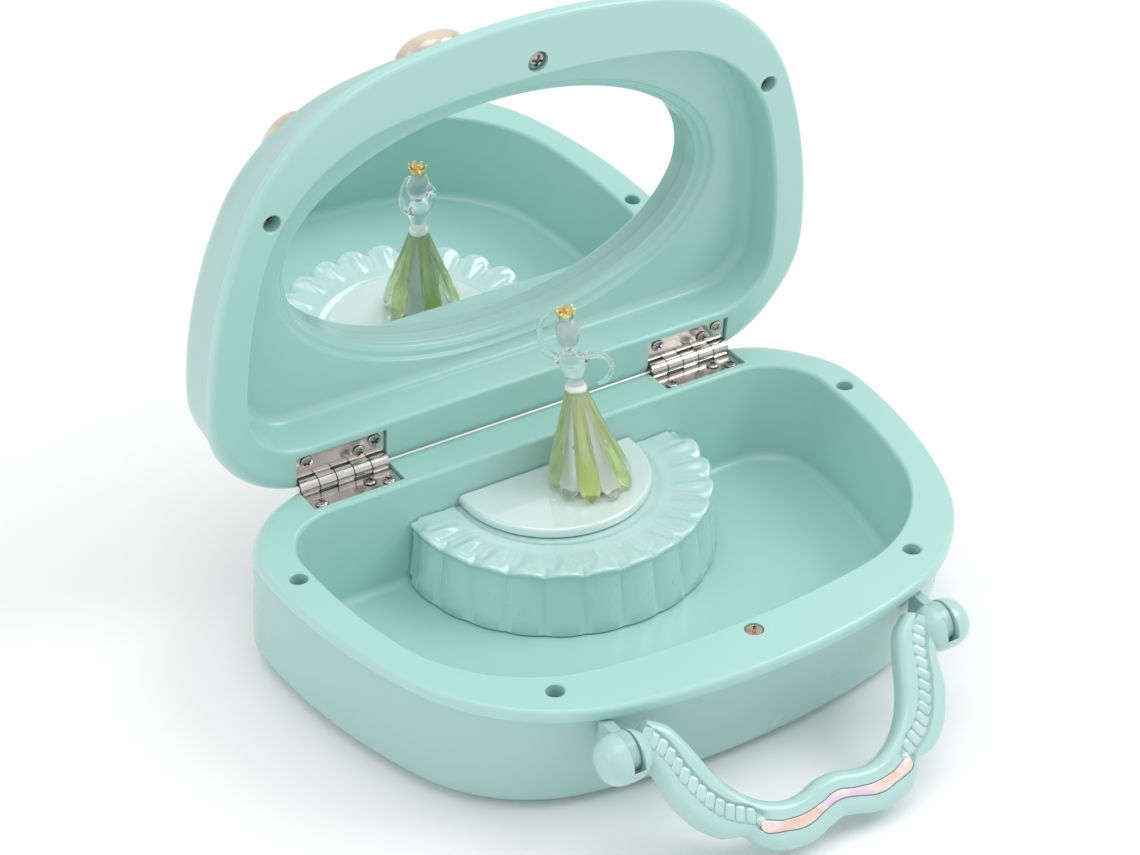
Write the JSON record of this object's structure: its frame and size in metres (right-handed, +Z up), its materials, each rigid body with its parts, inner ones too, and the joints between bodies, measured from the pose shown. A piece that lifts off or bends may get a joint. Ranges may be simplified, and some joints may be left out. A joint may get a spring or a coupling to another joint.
{
  "type": "wind up music box",
  "caption": "Clam-shell case with a mirrored hinged lid, swing handle, half-round stage and a turning figure over a wind-up comb movement.",
  "frame": {"origin": "middle of the case's flat underside, which stands on the table", "axes": "+X along the lid's hinge line, to the right of someone facing the mirror; +Y to the back, where the hinges are; +Z up"},
  "size_m": [0.1768, 0.1712, 0.1546],
  "materials": {
    "mint_plastic": "glossy injection moulded",
    "pearl_mint": "pearlescent gloss",
    "mirror_glass": "polished",
    "nickel_steel": "nickel plated, bright",
    "brass": "turned",
    "cast_zinc": "as cast",
    "magnet": "nickel plated magnet",
    "clear_acrylic": "clear, polished",
    "green_acrylic": "translucent, polished",
    "gold_plate": "gold plated plastic",
    "beige_gem": "pearly gloss",
    "pink_foil": "iridescent"
  },
  "bodies": {
    "case": {"case_shell": "mint_plastic", "tray_liner": "mint_plastic", "stage_drum": "pearl_mint", "stage_platform": "pearl_mint", "catch_magnet": "magnet", "liner_screw_back_left": "nickel_steel", "liner_screw_back_right": "nickel_steel", "liner_screw_front_left": "nickel_steel", "liner_screw_front_right": "nickel_steel", "hinge_leaf_case_left": "nickel_steel", "hinge_leaf_case_right": "nickel_steel", "hinge_pin_left": "nickel_steel", "hinge_pin_right": "nickel_steel", "hinge_case_left_screw_1": "nickel_steel", "hinge_case_left_screw_2": "nickel_steel", "hinge_case_left_screw_3": "nickel_steel", "hinge_case_right_screw_1": "nickel_steel", "hinge_case_right_screw_2": "nickel_steel", "hinge_case_right_screw_3": "nickel_steel", "movement_bedplate": "cast_zinc", "governor_bracket": "cast_zinc", "comb": "nickel_steel", "comb_screw_1": "nickel_steel", "comb_screw_2": "nickel_steel", "movement_screw_1": "nickel_steel", "movement_screw_2": "nickel_steel"},
    "lid": {"lid_shell": "mint_plastic", "lid_liner": "mint_plastic", "lid_mirror": "mirror_glass", "lid_gem_large": "beige_gem", "lid_gem_small": "beige_gem", "lid_screw_left": "nickel_steel", "lid_screw_right": "nickel_steel", "catch_screw": "nickel_steel", "hinge_leaf_lid_left": "nickel_steel", "hinge_leaf_lid_right": "nickel_steel", "hinge_lid_left_screw_1": "nickel_steel", "hinge_lid_left_screw_2": "nickel_steel", "hinge_lid_left_screw_3": "nickel_steel", "hinge_lid_right_screw_1": "nickel_steel", "hinge_lid_right_screw_2": "nickel_steel", "hinge_lid_right_screw_3": "nickel_steel"},
    "handle": {"handle_bow": "mint_plastic", "handle_inlay": "pink_foil", "handle_pin_left": "nickel_steel", "handle_pin_right": "nickel_steel"},
    "key": {"winding_key": "nickel_steel", "winding_arbor": "nickel_steel"},
    "barrel": {"spring_barrel": "brass", "barrel_cover": "brass", "drive_magnet": "magnet", "mainspring": "nickel_steel"},
    "cylinder": {"pin_cylinder": "brass"},
    "governor_wheel": {"governor_wheel": "brass"},
    "governor_fly": {"governor_fly": "nickel_steel"},
    "figure_stand": {"figure_foot": "magnet"},
    "figure": {"figure_skirt": "green_acrylic", "figure_torso": "clear_acrylic", "figure_crown": "gold_plate"}
  },
  "joints": [
    {"name": "lid_hinge", "type": "hinge", "parent": "case", "child": "lid", "pos_m": [0, 0.0579, 0.03615], "axis": [1, 0, 0], "range_deg": [0, 84.3]},
    {"name": "handle_swing", "type": "hinge", "parent": "case", "child": "handle", "pos_m": [0, -0.0622, 0.0285], "axis": [-1, 0, 0], "range_deg": [0, 120]},
    {"name": "winding_key_turn", "type": "hinge", "parent": "case", "child": "key", "pos_m": [0.0064, 0.0323, 0.003], "axis": [0, 0, 1], "continuous": true},
    {"name": "barrel_turn", "type": "hinge", "parent": "case", "child": "barrel", "pos_m": [0.0064, 0.0323, 0.012], "axis": [0, 0, 1], "continuous": true},
    {"name": "cylinder_turn", "type": "hinge", "parent": "case", "child": "cylinder", "pos_m": [-0.00506, 0.0323, 0.01572], "axis": [1, 0, 0], "continuous": true},
    {"name": "governor_wheel_turn", "type": "hinge", "parent": "case", "child": "governor_wheel", "pos_m": [0.0064, 0.048, 0.01572], "axis": [0, 1, 0], "continuous": true},
    {"name": "governor_fly_turn", "type": "hinge", "parent": "case", "child": "governor_fly", "pos_m": [0.01245, 0.048, 0.012], "axis": [0, 0, 1], "continuous": true},
    {"name": "figure_stow", "type": "hinge", "parent": "case", "child": "figure_stand", "pos_m": [0.0064, 0.0201, 0.0273], "axis": [1, 0, 0], "range_deg": [0, 97]},
    {"name": "figure_spin", "type": "hinge", "parent": "figure_stand", "child": "figure", "pos_m": [0.0064, 0.0323, 0.0273], "axis": [0, 0, 1], "continuous": true}
  ],
  "couplings": [
    {"joint": "cylinder_turn", "follows": "barrel_turn", "ratio": -3},
    {"joint": "governor_wheel_turn", "follows": "barrel_turn", "ratio": 3},
    {"joint": "governor_fly_turn", "follows": "barrel_turn", "ratio": 48},
    {"joint": "figure_spin", "follows": "barrel_turn", "ratio": 1},
    {"joint": "figure_stow", "follows": "lid_hinge", "ratio": 1.15}
  ]
}
